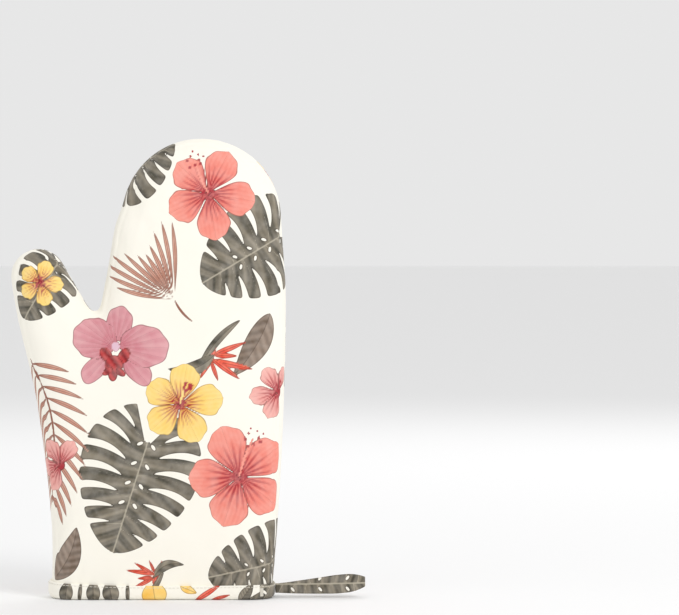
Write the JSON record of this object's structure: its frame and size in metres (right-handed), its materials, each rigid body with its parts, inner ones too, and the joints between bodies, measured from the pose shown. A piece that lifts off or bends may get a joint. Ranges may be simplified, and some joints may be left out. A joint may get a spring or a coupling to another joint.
{
  "type": "oven mitt",
  "caption": "Quilted cotton oven mitt with a separate thumb, silicone grip pads on the palm, a bound cuff and a hanging loop.",
  "frame": {"origin": "middle of the foot of the bounding box, in the plane that the bound cuff stands on", "axes": "+Z from the cuff to the fingertips, +Y out of the palm, +X towards the little finger and the hanging loop"},
  "size_m": [0.2548, 0.0542, 0.3297],
  "materials": {
    "printed_cloth": "printed cotton canvas",
    "wadding": "lofty polyester wadding",
    "lining_cloth": "plain quilted cotton",
    "sewing_thread": "matt",
    "grip_silicone": "satin, honeycomb texture"
  },
  "bodies": {
    "hand": {"outer_back_panel": "printed_cloth", "outer_palm_panel": "printed_cloth", "batting_back_hand": "wadding", "batting_palm_hand": "wadding", "lining_back_panel": "lining_cloth", "lining_palm_panel": "lining_cloth", "side_seam": "sewing_thread", "cuff_binding": "printed_cloth", "binding_stitch": "sewing_thread", "palm_grip": "grip_silicone", "thumb_grip": "grip_silicone", "loop_tack": "sewing_thread"},
    "fingers": {"batting_back_fingers": "wadding", "batting_palm_fingers": "wadding"},
    "thumb": {"batting_back_thumb": "wadding", "batting_palm_thumb": "wadding"},
    "loop": {"hanging_loop": "printed_cloth"}
  },
  "joints": [
    {"name": "finger_flex", "type": "hinge", "parent": "hand", "child": "fingers", "pos_m": [0.00989, 0, 0.228], "axis": [-1, 0, 0], "range_deg": [0, 45], "deforming": ["outer_back_panel", "outer_palm_panel", "lining_back_panel", "lining_palm_panel", "side_seam", "palm_grip"]},
    {"name": "thumb_flex", "type": "hinge", "parent": "hand", "child": "thumb", "pos_m": [-0.07037, 0, 0.21884], "axis": [-0.9397, 0, -0.342], "range_deg": [0, 35], "deforming": ["outer_back_panel", "outer_palm_panel", "lining_back_panel", "lining_palm_panel", "side_seam", "thumb_grip"]},
    {"name": "loop_swing", "type": "hinge", "parent": "hand", "child": "loop", "pos_m": [0.06519, 0, 0.0066], "axis": [0, 0, 1], "range_deg": [-70, 70]}
  ]
}
